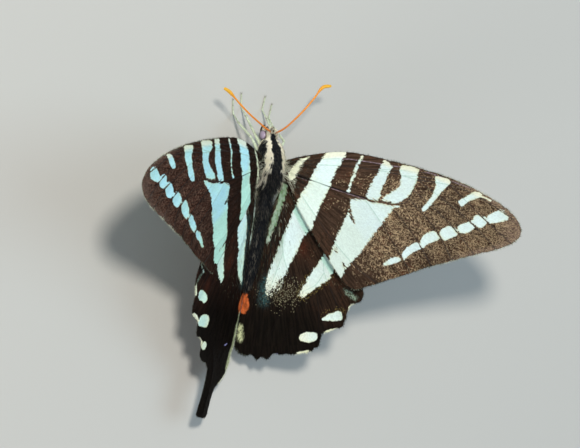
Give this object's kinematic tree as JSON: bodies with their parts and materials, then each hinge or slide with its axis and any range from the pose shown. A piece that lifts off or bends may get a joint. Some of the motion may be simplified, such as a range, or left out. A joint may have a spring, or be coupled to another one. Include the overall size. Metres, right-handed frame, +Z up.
{
  "type": "zebra swallowtail butterfly",
  "caption": "Life-size still butterfly with raised, spread wings, pale bands on dark brown, curved feelers and one whole tail, standing on its feet.",
  "frame": {"origin": "centre of the bounding box on the floor, under the body's middle line", "axes": "+X to the butterfly's right, +Y forwards to its head, +Z up"},
  "size_m": [0.0752, 0.0592, 0.0319],
  "materials": {
    "thorax_fur": "black furry thorax with cream side stripes",
    "abdomen_fur": "short dark brown-black hair",
    "head_fur": "dark hair with cream edges",
    "eye_surface": "dark glossy facets",
    "feeler_skin": "orange feelers with golden clubs",
    "palp_fur": "cream hair",
    "tongue_skin": "dark brown coiled tongue",
    "leg_skin": "pale greenish-white scales",
    "wing_scales": "dark brown scales with mint-white bands"
  },
  "bodies": {
    "root": {"abdomen": "abdomen_fur", "antenna_left": "feeler_skin", "antenna_right": "feeler_skin", "eye_left": "eye_surface", "eye_right": "eye_surface", "foreleg_left": "leg_skin", "foreleg_right": "leg_skin", "forewing_left": "wing_scales", "forewing_right": "wing_scales", "head": "head_fur", "hindleg_left": "leg_skin", "hindleg_right": "leg_skin", "hindwing_left": "wing_scales", "hindwing_right": "wing_scales", "midleg_left": "leg_skin", "midleg_right": "leg_skin", "palp_left": "palp_fur", "palp_right": "palp_fur", "proboscis": "tongue_skin", "thorax": "thorax_fur"}
  },
  "joints": []
}
